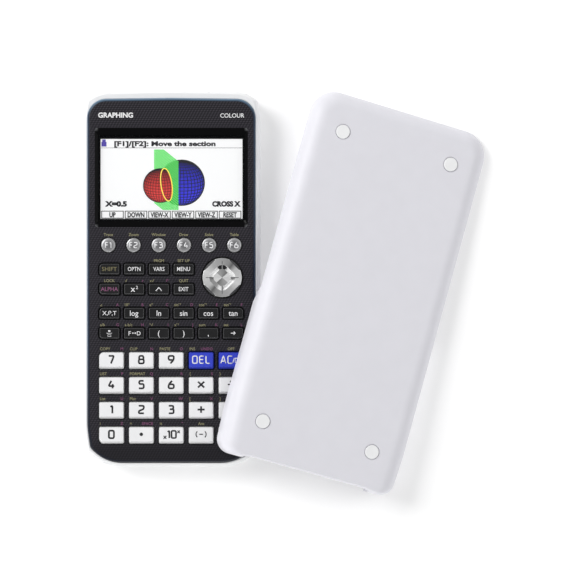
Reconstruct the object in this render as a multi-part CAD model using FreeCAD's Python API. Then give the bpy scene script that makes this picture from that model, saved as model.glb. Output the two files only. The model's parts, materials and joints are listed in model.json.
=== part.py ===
"""A school graphing calculator with its hard slide-on cover leaning on it, in millimetres.

The calculator lies on its back. +Z is up out of the key face, +Y runs towards the display end, and the
origin is the middle of the flat back. Every separate piece is its own solid and its own STEP file.
"""

import FreeCAD
import Part
import math
import os

V = FreeCAD.Vector

# ---- Driving dimensions ---------------------------------------------------------------------------

HALF_WIDTH = 44.5  # calculator silhouette
HALF_LENGTH = 94.25
FACE_Z = 17.2  # black front face
KEY_TOP_Z = 18.6  # tallest keys: the overall thickness
RIM_Z = 15.8  # top of the white rim around the face
PLATE_UNDER_Z = 15.9  # inner side of the front plate
SKIRT_Z = 13.0  # lower edge of the front case's skirt
BACK_WALL = 1.8
CAVITY_INSET = 2.8

FACE_HALF_WIDTH = 41.9
FACE_TOP_Y = 89.6
FACE_BOTTOM_Y = -91.9
FACE_GAP = 0.15  # between the black face and the white rim

# Display
RECESS = (-38.2, 25.6, 38.2, 75.2)  # x0, y0, x1, y1 of the sloped surround at the face
WINDOW = (-36.5, 28.75, 36.5, 71.35)
APERTURE = (-35.9, 29.3, 35.9, 70.5)
ACTIVE = (-35.45, 29.9, 35.45, 69.75)
WINDOW_BOTTOM_Z = 15.0
WINDOW_TOP_Z = 16.0
LCD_BOTTOM_Z = 11.5
LCD_TOP_Z = 14.5

# Keys: pitch, size, top height. Rows are given by the y of their centre line.
FLANGE_Z = 15.1
FLANGE_THICKNESS = 0.77
FLANGE_OUT = 0.5
KEY_GAP = 0.28  # between a cap and its hole
HOLE_BEVEL = 0.4  # width and depth of the bevel round every key hole

ROUND_RADIUS = 3.4
ROUND_PITCH = 12.56
ROUND_Y = 16.7
ROUND_TOP_Z = 18.3

DARK_SIZE = (10.15, 5.5)
DARK_PITCH = 12.33
DARK_ROWS_Y = (4.7, -5.3, -17.3, -27.3)
DARK_TOP_Z = 18.2
DARK_CORNER = 0.75
DARK_BIG_CORNER = 1.9

NUMBER_SIZE = (12.35, 8.2)
NUMBER_PITCH = 14.9
NUMBER_ROWS_Y = (-40.85, -53.27, -65.7, -78.1)
NUMBER_TOP_Z = KEY_TOP_Z
NUMBER_CORNER = 0.8
NUMBER_BIG_CORNER = 2.4

# Direction pad
PAD_CENTRE = (25.4, 0.5)
PAD_RADIUS = 9.75
PAD_HOLE_RADIUS = 10.55
PAD_FLAT = 8.5  # centre to each of the four diagonal flats
PAD_PIVOT_Z = 15.6
PAD_BALL_RADIUS = 1.7
PAD_BASE_Z = (14.7, 15.2)

# Inside
BOARD_BOTTOM_Z = 12.6
BOARD_THICKNESS = 1.0
SHEET_THICKNESS = 0.6
SHEET_TOP_Z = BOARD_BOTTOM_Z + BOARD_THICKNESS + SHEET_THICKNESS
BATTERY_RADIUS = 5.25
BATTERY_LENGTH = 44.5
BATTERY_Z = 7.2
BATTERY_SHIFT = 2.2  # each cell sits towards its cap's end of the bay
BAY = (-23.75, -82.0, 23.75, -32.0)  # x0, y0, x1, y1 inside the battery bay
BAY_TOP_Z = 12.45
BATTERY_DOOR = (-27.0, -86.0, 27.0, -28.0)
DOOR_THICKNESS = 1.5
SCREWS_AT = ((36.5, 82.5), (38.0, -33.4), (34.0, -85.4))  # each also at -x
RESET_AT = (-30.0, 10.0)
BOSS_RADIUS = 2.2

# Sockets in the display end
USB_X = -13.0
JACK_X = 15.0
JACK_Z = 9.5
JACK_BORE_RADIUS = 1.27
JACK_BORE_LENGTH = 10.0
SOCKET_FACE_Y = 91.3

# Slide-on cover, in its own frame: u across, v along, w from the deep rim up to the outer face
COVER_HALF_WIDTH = 46.9
COVER_HALF_LENGTH = 94.3
COVER_DEPTH = 14.5
COVER_WALL = 1.9
COVER_CEILING = 12.7
COVER_SHALLOW_RIM = 7.5  # rim height over the display half
COVER_RAMP = (-18.0, -10.0)  # v where the deep rim starts and ends its rise
COVER_MOUTH_HALF_WIDTH = 33.0  # the wall turns both corners of the key end and stops at the mouth
COVER_CORNER = 7.5  # outer radius of those two corners
COVER_EDGE_START = 6.0  # w where the rolled edge begins, and how far it comes in on each side
COVER_SIDE_ROLL = 9.0
COVER_TOP_ROLL = 4.2
COVER_END_ROLL = 1.8
COVER_EDGE_TURNS = (0, 12, 24, 36, 48, 58, 67, 75, 82, 90)
COVER_FEET = (28.7, 74.6)
FOOT_RADIUS = 3.5
FOOT_RECESS_RADIUS = 3.85
FOOT_RECESS_DEPTH = 0.8
FOOT_PROUD = 0.4
RAIL_W = (2.6, 3.8)
RAIL_DEPTH = 1.1
GROOVE_Z = (8.3, 10.3)
GROOVE_DEPTH = 0.8

# How the cover leans: one long rim up on the key face, the other on the table
COVER_YAW = -15.5
COVER_ROLL = 10.8
COVER_PITCH = 4.1
COVER_ORIGIN = (89.84, -6.9, 7.48)

# ---- Outlines and lofts ---------------------------------------------------------------------------


def mirrored(right_side):
    """A closed symmetric outline from its right side, listed from bottom to top. Corners are (x, y, radius)."""
    left_side = [(-x, y, r) for x, y, r in reversed(right_side) if x > 0]
    return right_side + left_side


def rounded_polygon(corners, z):
    """A closed wire at height z through the corners (x, y, radius), each rounded by an arc."""
    arcs = []
    for i, (x, y, radius) in enumerate(corners):
        here = V(x, y, z)
        before = V(corners[i - 1][0], corners[i - 1][1], z) - here
        after = V(corners[(i + 1) % len(corners)][0], corners[(i + 1) % len(corners)][1], z) - here
        before.normalize()
        after.normalize()
        half_angle = before.getAngle(after) / 2
        reach = radius / math.tan(half_angle)
        bisector = before + after
        bisector.normalize()
        middle = here + bisector * (radius / math.sin(half_angle) - radius)
        arcs.append((here + before * reach, middle, here + after * reach))
    edges = []
    for i, (start, middle, end) in enumerate(arcs):
        edges.append(Part.Arc(start, middle, end).toShape())
        edges.append(Part.LineSegment(end, arcs[(i + 1) % len(arcs)][0]).toShape())
    return Part.Wire(edges)


def moved_in(corners, inset_of_edge, smallest_radius=0.6):
    """The outline with each edge moved inwards by inset_of_edge(start, end), its radii following."""
    count = len(corners)
    lines = []
    for i in range(count):
        start = V(corners[i][0], corners[i][1], 0)
        end = V(corners[(i + 1) % count][0], corners[(i + 1) % count][1], 0)
        along = end - start
        along.normalize()
        inwards = V(-along.y, along.x, 0)
        inset = inset_of_edge(start, end)
        lines.append((start + inwards * inset, along, inset))
    moved = []
    for i in range(count):
        p, d, inset_before = lines[i - 1]
        q, e, inset_after = lines[i]
        turn = d.x * e.y - d.y * e.x
        t = ((q.x - p.x) * e.y - (q.y - p.y) * e.x) / turn
        change = (inset_before + inset_after) / 2
        radius = corners[i][2] - change if turn > 0 else corners[i][2] + change
        moved.append((p.x + d.x * t, p.y + d.y * t, max(radius, smallest_radius)))
    return moved


def evenly_in(corners, inset):
    return moved_in(corners, lambda start, end: inset)


def prism(corners, z0, z1):
    """The outline as a solid from z0 to z1."""
    return Part.Face(rounded_polygon(corners, z0)).extrude(V(0, 0, z1 - z0))


def loft(levels):
    """A ruled solid through outlines, each given with its height."""
    return Part.makeLoft([rounded_polygon(corners, z) for corners, z in levels], True, True)


def rectangle(x0, y0, x1, y1, radius=0.5):
    """Corner list of a rounded rectangle; radius is one number, or four from the lower left, anticlockwise."""
    radii = radius if isinstance(radius, (tuple, list)) else (radius,) * 4
    return [(x0, y0, radii[0]), (x1, y0, radii[1]), (x1, y1, radii[2]), (x0, y1, radii[3])]


def grown(box, margin):
    x0, y0, x1, y1 = box
    return (x0 - margin, y0 - margin, x1 + margin, y1 + margin)


def block(x0, y0, z0, x1, y1, z1):
    return Part.makeBox(x1 - x0, y1 - y0, z1 - z0, V(x0, y0, z0))


def rod(x, y, z0, z1, radius):
    return Part.makeCylinder(radius, z1 - z0, V(x, y, z0))


def both_sides(points):
    return [(side * x, y) for x, y in points for side in (1, -1)]


def fused(solids):
    return solids[0].multiFuse(solids[1:]).removeSplitter()


# ---- Outlines of the calculator -------------------------------------------------------------------

BODY = mirrored(
    [
        (HALF_WIDTH - 10.4, -HALF_LENGTH, 23.0),
        (HALF_WIDTH - 1.7, -HALF_LENGTH + 7.9, 4.0),
        (HALF_WIDTH, -HALF_LENGTH + 18.5, 60.0),
        (HALF_WIDTH, HALF_LENGTH - 15.0, 40.0),
        (HALF_WIDTH - 1.5, HALF_LENGTH - 4.8, 4.0),
        (HALF_WIDTH - 8.1, HALF_LENGTH - 0.5, 17.0),
        (0.0, HALF_LENGTH + 0.3, 500.0),
    ]
)

FACE = mirrored(
    [
        (FACE_HALF_WIDTH - 9.3, FACE_BOTTOM_Y, 20.0),
        (FACE_HALF_WIDTH - 1.5, FACE_BOTTOM_Y + 7.4, 3.5),
        (FACE_HALF_WIDTH, FACE_BOTTOM_Y + 17.0, 50.0),
        (FACE_HALF_WIDTH, FACE_TOP_Y, 9.4),
        (0.0, FACE_TOP_Y + 0.5, 500.0),
    ]
)

# ---- Keys -----------------------------------------------------------------------------------------


def keycap(x, y, size, top_z, corner, lower_slope):
    """A rectangular key: a cap with sloped sides and a dished top, on a flange that stays under the plate."""
    half_w, half_h = size[0] / 2, size[1] / 2
    corner = corner if isinstance(corner, (tuple, list)) else (corner,) * 4
    base = rectangle(x - half_w, y - half_h, x + half_w, y + half_h, corner)
    side_slope, upper_slope = 0.3, 0.2
    top = rectangle(x - half_w + side_slope, y - half_h + lower_slope, x + half_w - side_slope,
                    y + half_h - upper_slope, [max(r - 0.2, 0.4) for r in corner])
    cap = prism(base, FLANGE_Z, FACE_Z - 0.2).fuse(loft([(base, FACE_Z - 0.2), (top, top_z)]))
    dish_radius, dish_depth = 60.0, 0.14
    dish = Part.makeCylinder(dish_radius, size[1] + 4, V(x, y - half_h - 2, top_z + dish_radius - dish_depth),
                             V(0, 1, 0))
    cap = cap.cut(dish).removeSplitter()
    rim = [e for e in cap.Edges if e.BoundBox.ZMin > top_z - 0.3]
    cap = cap.makeFillet(0.25, rim)
    flange = prism(rectangle(x - half_w - FLANGE_OUT, y - half_h - FLANGE_OUT, x + half_w + FLANGE_OUT,
                             y + half_h + FLANGE_OUT, 0.6), FLANGE_Z, FLANGE_Z + FLANGE_THICKNESS)
    return cap.fuse(flange).removeSplitter()


def round_key(x, y):
    """A round function key with a shallow domed top."""
    stem = rod(x, y, FLANGE_Z, ROUND_TOP_Z - 0.5, ROUND_RADIUS)
    dome_radius = 16.0
    dome = Part.makeSphere(dome_radius, V(x, y, ROUND_TOP_Z - dome_radius))
    cap = rod(x, y, ROUND_TOP_Z - 0.5, ROUND_TOP_Z + 0.1, ROUND_RADIUS).common(dome)
    cap = stem.fuse(cap).removeSplitter()
    rim = [e for e in cap.Edges if e.BoundBox.ZMin > ROUND_TOP_Z - 0.49 and e.Length > ROUND_RADIUS]
    cap = cap.makeFillet(0.25, rim)
    flange = rod(x, y, FLANGE_Z, FLANGE_Z + FLANGE_THICKNESS, ROUND_RADIUS + FLANGE_OUT)
    return cap.fuse(flange).removeSplitter()


def hole_for(x, y, size, corner):
    """The opening in the front plate that a rectangular key moves in, with a bevel round its mouth."""

    def outline(margin):
        half_w, half_h = size[0] / 2 + margin, size[1] / 2 + margin
        return rectangle(x - half_w, y - half_h, x + half_w, y + half_h, [r + margin for r in corner])

    hole, mouth = outline(KEY_GAP), outline(KEY_GAP + HOLE_BEVEL)
    return loft([(hole, PLATE_UNDER_Z - 1), (hole, FACE_Z - HOLE_BEVEL), (mouth, FACE_Z), (mouth, FACE_Z + 1)])


def round_hole_for(x, y):
    """The opening in the front plate for a round key, with the same bevel."""
    radius = ROUND_RADIUS + KEY_GAP
    bevel = Part.makeCone(radius, radius + HOLE_BEVEL + 0.2, HOLE_BEVEL + 0.2, V(x, y, FACE_Z - HOLE_BEVEL))
    return rod(x, y, PLATE_UNDER_Z - 1, FACE_Z - 0.1, radius).fuse(bevel)


def big_corner(small, big, which):
    """Four corner radii, one of them big: 0 lower left, 1 lower right, 2 upper right, 3 upper left."""
    return [big if i == which else small for i in range(4)]


DARK_NAMES = (
    ("shift", "option", "vars", "menu"),
    ("alpha", "square", "power", "exit"),
    ("variable", "log", "ln", "sin", "cos", "tan"),
    ("fraction", "convert", "open_bracket", "close_bracket", "comma", "store"),
)
NUMBER_NAMES = (
    ("7", "8", "9", "delete", "clear"),
    ("4", "5", "6", "multiply", "divide"),
    ("1", "2", "3", "plus", "minus"),
    ("0", "point", "exponent", "negative", "execute"),
)
DARK_BIG_CORNERS = {"shift": 3, "alpha": 0, "variable": 3, "fraction": 0, "tan": 2, "store": 1}
NUMBER_BIG_CORNERS = {"7": 3, "0": 0, "clear": 2, "execute": 1}


def key_layout():
    """Every rectangular key as name: (x, y, size, top height, corner radii, slope of the near side)."""
    layout = {}
    for names, y in zip(DARK_NAMES, DARK_ROWS_Y):
        for i, name in enumerate(names):
            corner = big_corner(DARK_CORNER, DARK_BIG_CORNER, DARK_BIG_CORNERS.get(name))
            layout["key_" + name] = ((i - 2.5) * DARK_PITCH, y, DARK_SIZE, DARK_TOP_Z, corner, 0.5)
    for names, y in zip(NUMBER_NAMES, NUMBER_ROWS_Y):
        for i, name in enumerate(names):
            corner = big_corner(NUMBER_CORNER, NUMBER_BIG_CORNER, NUMBER_BIG_CORNERS.get(name))
            layout["key_" + name] = ((i - 2) * NUMBER_PITCH, y, NUMBER_SIZE, NUMBER_TOP_Z, corner, 1.1)
    return layout


def round_layout():
    return {f"key_f{i + 1}": ((i - 2.5) * ROUND_PITCH, ROUND_Y) for i in range(6)}


# ---- Direction pad --------------------------------------------------------------------------------


def pad_outline(flat, reach):
    """A square turned by 45 degrees round the pad's centre, its corners rounded to come only to reach."""
    x, y = PAD_CENTRE
    corner = flat * math.sqrt(2)
    radius = (corner - reach) / (math.sqrt(2) - 1)
    return [(x, y - corner, radius), (x + corner, y, radius), (x, y + corner, radius), (x - corner, y, radius)]


def nav_disc():
    """The rocking direction pad: a disc with four diagonal facets and a sloped channel round its middle."""
    x, y = PAD_CENTRE
    under_z, top_z = 15.75, 18.35
    floor_z = top_z - 0.75
    disc = rod(x, y, under_z, top_z, PAD_RADIUS)
    disc = disc.makeFillet(0.3, [e for e in disc.Edges if e.Closed and e.BoundBox.ZMin > top_z - 0.1])
    for turn in (45, 135, 225, 315):
        facet = Part.makeBox(4, 20, 3, V(0, -10, 0))
        facet.rotate(V(0, 0, 0), V(0, 1, 0), 38)
        facet.translate(V(PAD_FLAT, 0, top_z))
        facet.rotate(V(0, 0, 0), V(0, 0, 1), turn)
        facet.translate(V(x, y, 0))
        disc = disc.cut(facet)
    channel = loft([(pad_outline(4.85, 5.55), floor_z), (pad_outline(5.75, 6.6), top_z + 0.1)])
    island = loft([(pad_outline(4.25, 4.85), floor_z - 0.1), (pad_outline(3.55, 4.1), top_z + 0.2)])
    socket = Part.makeSphere(PAD_BALL_RADIUS + 0.05, V(x, y, PAD_PIVOT_Z))
    return disc.cut(channel.cut(island)).cut(socket)


def nav_base():
    """The pad's lower half under the plate: a retaining flange and the post that the disc sits on."""
    x, y = PAD_CENTRE
    ball = Part.makeSphere(PAD_BALL_RADIUS, V(x, y, PAD_PIVOT_Z)).cut(rod(x, y, 13.0, PAD_BASE_Z[0], 3.0))
    pip = Part.makeSphere(PAD_PIVOT_Z - SHEET_TOP_Z - 0.02, V(x, y, PAD_PIVOT_Z))
    return fused([rod(x, y, *PAD_BASE_Z, PAD_HOLE_RADIUS + 0.45), ball, pip])


# ---- Shells ---------------------------------------------------------------------------------------


def front_case():
    """The black front shell: a plate with a bevelled edge, a skirt, the display surround and screw bosses."""
    outer = loft([(FACE, SKIRT_Z), (FACE, 16.0), (evenly_in(FACE, 0.3), 16.6),
                  (evenly_in(FACE, 0.75), 17.0), (evenly_in(FACE, 1.3), FACE_Z)])
    shell = outer.cut(prism(evenly_in(FACE, 1.3), SKIRT_Z - 1, PLATE_UNDER_Z))
    surround = block(-40.0, 23.3, 14.6, 40.0, 76.5, PLATE_UNDER_Z + 0.2)
    bosses = [rod(x, y, 6.1, PLATE_UNDER_Z + 0.2, BOSS_RADIUS) for x, y in both_sides(SCREWS_AT)]
    shell = fused([shell, surround] + bosses)
    seat = grown(WINDOW, 0.15)
    cuts = [
        loft([(rectangle(*seat, 1.0), WINDOW_TOP_Z), (rectangle(*RECESS, 1.6), FACE_Z),
              (rectangle(*grown(RECESS, 0.2), 1.7), FACE_Z + 0.2)]),
        prism(rectangle(*seat, 1.0), WINDOW_BOTTOM_Z, WINDOW_TOP_Z + 0.1),
        prism(rectangle(*APERTURE, 0.5), 14.0, WINDOW_BOTTOM_Z + 0.1),
        rod(PAD_CENTRE[0], PAD_CENTRE[1], 14.0, FACE_Z + 1, PAD_HOLE_RADIUS),
    ]
    cuts += [rod(x, y, 5.0, 14.5, 0.95) for x, y in both_sides(SCREWS_AT)]
    cuts += [round_hole_for(x, y) for x, y in round_layout().values()]
    cuts += [hole_for(x, y, size, corner) for x, y, size, _, corner, _ in key_layout().values()]
    return shell.cut(cuts)


def rear_case():
    """The white rear shell: a tub with the battery bay, screw posts, port openings and the cover's grooves."""
    profile = ((0.0, 3.2), (0.5, 2.0), (1.4, 1.0), (3.0, 0.35), (6.0, 0.0), (10.6, 0.0), (13.0, 0.4),
               (14.6, 1.0), (RIM_Z, 1.8))
    outer = loft([(evenly_in(BODY, inset), z) for z, inset in profile])
    cavity = loft([(evenly_in(BODY, 4.6), BACK_WALL), (evenly_in(BODY, CAVITY_INSET), 4.0),
                   (evenly_in(BODY, CAVITY_INSET), SKIRT_Z - 0.1)])
    mouth = prism(evenly_in(FACE, -FACE_GAP), SKIRT_Z - 0.2, RIM_Z + 1)
    shell = outer.cut([cavity, mouth])

    bay_outside = grown(BAY, 1.4)
    ledge = prism(rectangle(*grown(BATTERY_DOOR, 2.0), 3.0), BACK_WALL - 0.2, 2.9)
    bay = prism(rectangle(*bay_outside, 1.0), BACK_WALL, BAY_TOP_Z)
    posts = [rod(x, y, BACK_WALL - 0.2, 6.0, 3.0) for x, y in both_sides(SCREWS_AT)]
    shell = fused([shell, ledge, bay] + posts)

    door_x0, door_y0, door_x1, door_y1 = BATTERY_DOOR
    cuts = [
        prism(rectangle(*grown(BATTERY_DOOR, 0.2), (3.2, 3.2, 0.3, 0.3)), -1.0, DOOR_THICKNESS + 0.15),
        prism(rectangle(*BAY, 0.6), -1.0, BAY_TOP_Z + 1),
        block(-24.0, -30.7, DOOR_THICKNESS, -8.0, door_y1 + 1.9, 3.2),
        block(8.0, -30.7, DOOR_THICKNESS, 24.0, door_y1 + 1.9, 3.2),
    ]
    for x, y in both_sides(SCREWS_AT):
        cuts += [rod(x, y, -1.0, 2.5, 2.3), rod(x, y, 1.0, 7.0, 1.15)]
    cuts.append(rod(*RESET_AT, -1.0, BACK_WALL + 1, 1.0))
    cuts.append(prism(rectangle(-21.0, 22.0, 21.0, 40.0, 1.5), -1.0, 0.25))  # blank label recess
    cuts.append(port_opening(USB_X, 10.5, 9.6, 5.4))
    cuts.append(port_opening(JACK_X, JACK_Z, 8.4, 6.6))
    for side in (1, -1):
        inner, outer_x = side * (HALF_WIDTH - GROOVE_DEPTH), side * (HALF_WIDTH + 2)
        cuts.append(block(min(inner, outer_x), -HALF_LENGTH - 1, GROOVE_Z[0],
                          max(inner, outer_x), 8.0, GROOVE_Z[1]))
    return shell.cut(cuts)


def port_opening(x, z, width, height):
    """A rounded slot through the display-end wall."""
    slot = prism(rectangle(x - width / 2, -z - height / 2, x + width / 2, -z + height / 2, 1.0), 0.0, 8.0)
    slot.rotate(V(0, 0, 0), V(1, 0, 0), -90)
    slot.translate(V(0, 89.5, 0))
    return slot


def battery_cover():
    """The battery door: a plate that turns on its rounded end, with two hooks there and a finger tab."""
    x0, y0, x1, y1 = BATTERY_DOOR
    pivot = DOOR_THICKNESS / 2
    plate = prism(rectangle(x0, y0, x1, y1 - 5.0, (3.0, 3.0, 0.2, 0.2)), 0.0, DOOR_THICKNESS)
    plate = plate.fuse([block(x0, y1 - 6.0, 0.0, x1, y1 - pivot, DOOR_THICKNESS),
                        Part.makeCylinder(pivot, x1 - x0, V(x0, y1 - pivot, pivot), V(1, 0, 0))])
    hooks = [block(x - 5.0, y1 - pivot, DOOR_THICKNESS - 0.3, x + 5.0, y1 + 0.9, 2.3) for x in (-16.0, 16.0)]
    hooks = [h.cut(block(-30, y1 - 0.2, 0, 30, y1 + 3, DOOR_THICKNESS + 0.1)) for h in hooks]
    ribs = [block(x - 0.5, y0 + 14, DOOR_THICKNESS - 0.2, x + 0.5, y1 - 6, 1.9) for x in (-11.9, 0.0, 11.9)]
    door = fused([plate] + hooks + ribs)
    slits = [block(x - 0.45, y0 - 1, -1, x + 0.45, y0 + 9.0, 5) for x in (-7.5, 7.5)]
    scoop = Part.makeCylinder(8.0, 11.0, V(-5.5, y0 + 5.0, -7.2), V(1, 0, 0))
    return door.cut(slits + [scoop])


def display_window():
    """The clear window over the display, bonded into the front case."""
    return prism(rectangle(*WINDOW, 0.9), WINDOW_BOTTOM_Z, WINDOW_TOP_Z)


def lcd_module():
    """The display: a glass panel on its backlight frame."""
    x0, y0, x1, y1 = grown(ACTIVE, 2.2)
    glass_z = 13.4
    frame = prism(rectangle(x0 - 0.4, y0 - 2.2, x1 + 0.4, y1 + 0.4, 0.6), LCD_BOTTOM_Z, glass_z)
    glass = prism(rectangle(x0, y0, x1, y1, 0.4), glass_z, LCD_TOP_Z)
    return Part.makeCompound([frame, glass])


# ---- Inside ---------------------------------------------------------------------------------------


def main_board():
    """The circuit board with its chips, the reset switch, the data socket and the link jack."""
    top_z = BOARD_BOTTOM_Z + BOARD_THICKNESS
    outline = evenly_in(FACE, 1.8)
    board = prism(outline, BOARD_BOTTOM_Z, top_z)
    display_hole = grown(ACTIVE, 3.2)
    cuts = [prism(rectangle(display_hole[0], display_hole[1] - 2.2, display_hole[2], display_hole[3], 1.0),
                  BOARD_BOTTOM_Z - 1, top_z + 1)]
    cuts += [rod(x, y, BOARD_BOTTOM_Z - 1, top_z + 1, BOSS_RADIUS + 0.4) for x, y in both_sides(SCREWS_AT)]
    board = board.cut(cuts)
    chips = [
        block(-30, -10, 11.0, -16, 4, BOARD_BOTTOM_Z),
        block(-8, -8, 11.2, 2, 2, BOARD_BOTTOM_Z),
        block(12, -14, 11.2, 24, -4, BOARD_BOTTOM_Z),
        block(*[c - 3 for c in RESET_AT], 9.4, *[c + 3 for c in RESET_AT], BOARD_BOTTOM_Z)
        .fuse(rod(*RESET_AT, 8.2, 9.6, 1.5)),
    ]
    usb = data_socket()
    jack = block(JACK_X - 4.0, 80.3, JACK_Z - 3.1, JACK_X + 4.0, SOCKET_FACE_Y, BOARD_BOTTOM_Z)
    bore = Part.makeCylinder(JACK_BORE_RADIUS, JACK_BORE_LENGTH + 1, V(JACK_X, SOCKET_FACE_Y + 1, JACK_Z),
                             V(0, -1, 0))
    return Part.makeCompound([board] + chips + [usb, jack.cut(bore)])


def data_socket():
    """A small trapezoid-mouthed data socket, as a shell with its contact tongue."""
    x, top = USB_X, BOARD_BOTTOM_Z
    shell = block(x - 3.85, 82.3, top - 3.95, x + 3.85, SOCKET_FACE_Y, top)
    mouth = block(x - 3.45, 83.3, top - 3.5, x + 3.45, SOCKET_FACE_Y + 1, top - 0.4)
    tongue = block(x - 2.0, 83.0, top - 2.2, x + 2.0, SOCKET_FACE_Y - 1.5, top - 1.4)
    return shell.cut(mouth).fuse(tongue)


def keypad_membrane():
    """The rubber sheet that carries a dome under every key."""
    base_z = BOARD_BOTTOM_Z + BOARD_THICKNESS
    sheet_z = SHEET_TOP_Z
    sheet = prism(rectangle(-37.8, -83.2, 37.8, 22.0, 2.0), base_z, sheet_z)
    sheet = sheet.cut([rod(x, y, base_z - 1, sheet_z + 1, BOSS_RADIUS + 0.5)
                       for x, y in both_sides(SCREWS_AT)])
    centres = list(round_layout().values()) + [(x, y) for x, y, *_ in key_layout().values()]
    domes = [Part.makeCone(2.3, 1.5, FLANGE_Z - sheet_z + 0.08, V(x, y, sheet_z - 0.1)) for x, y in centres]
    pad_x, pad_y = PAD_CENTRE
    pad_height = PAD_BASE_Z[0] - sheet_z + 0.08
    for dx, dy in ((7.5, 0), (-7.5, 0), (0, 7.5), (0, -7.5)):
        domes.append(Part.makeCone(2.0, 1.5, pad_height, V(pad_x + dx, pad_y + dy, sheet_z - 0.1)))
    return fused([sheet] + domes)


def battery_centres():
    pitch = 11.6
    return [(i - 1.5) * pitch for i in range(4)]


def batteries():
    """Four AAA cells side by side, alternately turned, each with its raised positive cap."""
    cells = []
    middle = (BAY[1] + BAY[3]) / 2
    for i, x in enumerate(battery_centres()):
        direction = 1 if i % 2 else -1
        start = middle + direction * (BATTERY_SHIFT - BATTERY_LENGTH / 2)
        axis = V(0, direction, 0)
        can = Part.makeCylinder(BATTERY_RADIUS, BATTERY_LENGTH - 0.9, V(x, start, BATTERY_Z), axis)
        can = can.makeFillet(0.5, [e for e in can.Edges if e.Length > 20 and e.Closed])
        cap = Part.makeCylinder(1.9, BATTERY_LENGTH - 1.0, V(x, start + direction, BATTERY_Z), axis)
        cells.append(can.fuse(cap).removeSplitter())
    return Part.makeCompound(cells)


def leaf_spring(x, wall_y, end):
    """A formed strip that stands out from the bay's end wall and presses on a cell's flat end."""
    reach = BAY[3] - BAY[1] - BATTERY_LENGTH
    tip = reach / 2 + BATTERY_SHIFT - 0.05
    profile = [(0.7, 9.8), (tip, BATTERY_Z + 0.5), (tip, BATTERY_Z - 0.5), (tip / 2, 4.6)]
    outline = profile + [(d - 0.35, z) for d, z in reversed(profile)]
    points = [V(x - 2.5, wall_y - end * d, z) for d, z in outline]
    return Part.Face(Part.makePolygon(points + points[:1])).extrude(V(5.0, 0, 0))


def battery_contacts():
    """Leaf springs at the cells' flat ends and plain plates at their caps."""
    pieces = []
    for i, x in enumerate(battery_centres()):
        cap_up = i % 2 == 1
        for end in (1, -1):
            wall_y = BAY[3] if end > 0 else BAY[1]
            low, high = sorted((wall_y - end * 0.05, wall_y - end * 0.5))
            plate = block(x - 4.2, low, 3.4, x + 4.2, high, 11.4)
            if (end > 0) != cap_up:
                plate = plate.fuse(leaf_spring(x, wall_y, end))
            pieces.append(plate)
    return Part.makeCompound(pieces)


def case_screws():
    """Six pan-head screws that hold the two shells together from the back."""
    screws = []
    for x, y in both_sides(SCREWS_AT):
        head = rod(x, y, 1.1, 2.5, 2.05)
        shank = rod(x, y, 2.4, 12.5, 0.88)
        slots = [block(x - 1.2, y - 0.22, 0.9, x + 1.2, y + 0.22, 1.7),
                 block(x - 0.22, y - 1.2, 0.9, x + 0.22, y + 1.2, 1.7)]
        screws.append(head.fuse(shank).cut(slots).removeSplitter())
    return Part.makeCompound(screws)


# ---- Slide-on cover -------------------------------------------------------------------------------

COVER = mirrored(
    [
        (29.5, -COVER_HALF_LENGTH + 0.6, 6.0),
        (33.0, -COVER_HALF_LENGTH, 6.0),
        (COVER_HALF_WIDTH - 1.1, -COVER_HALF_LENGTH, COVER_CORNER),
        (COVER_HALF_WIDTH, -COVER_HALF_LENGTH + 22.0, 60.0),
        (COVER_HALF_WIDTH, COVER_HALF_LENGTH, 13.5),
    ]
)


def cover_outline(side, display_end, key_end):
    """The cover's outline moved in by its own amount on the long sides and on each end."""

    def inset(start, end):
        if abs(start.y - end.y) > 20 or min(abs(start.x), abs(end.x)) > 44:
            return side
        return display_end if start.y > 0 else key_end

    return moved_in(COVER, inset, 2.5)


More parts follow.
